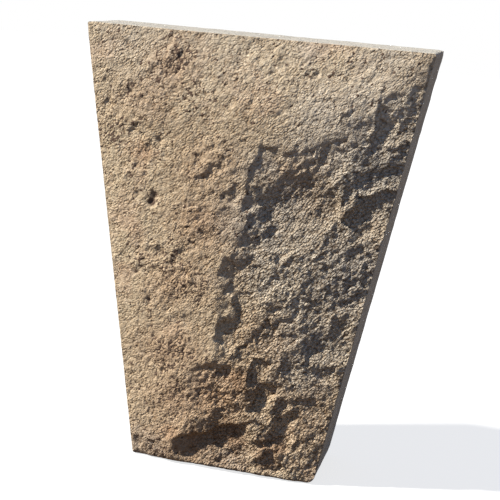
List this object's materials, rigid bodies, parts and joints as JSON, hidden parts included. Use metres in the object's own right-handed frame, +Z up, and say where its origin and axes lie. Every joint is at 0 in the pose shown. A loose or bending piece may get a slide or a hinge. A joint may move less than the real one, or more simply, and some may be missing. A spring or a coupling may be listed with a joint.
{
  "type": "retaining wall block",
  "caption": "Wedge-shaped cast-stone wall block with a rough rock face, a wide head, a narrow foot, and flat beds, joints and back.",
  "frame": {"origin": "middle of the foot bed, halfway between the front arris and the back", "axes": "+Z up from the narrow foot to the wide head, -Y out of the rock face, +X to the right as seen facing the rock face"},
  "size_m": [0.311, 0.0947, 0.4],
  "materials": {
    "cast_stone": "coarse-grained tan cast stone, matte, rock-faced in front and plain elsewhere"
  },
  "bodies": {
    "root": {"wall_block": "cast_stone"}
  },
  "joints": []
}
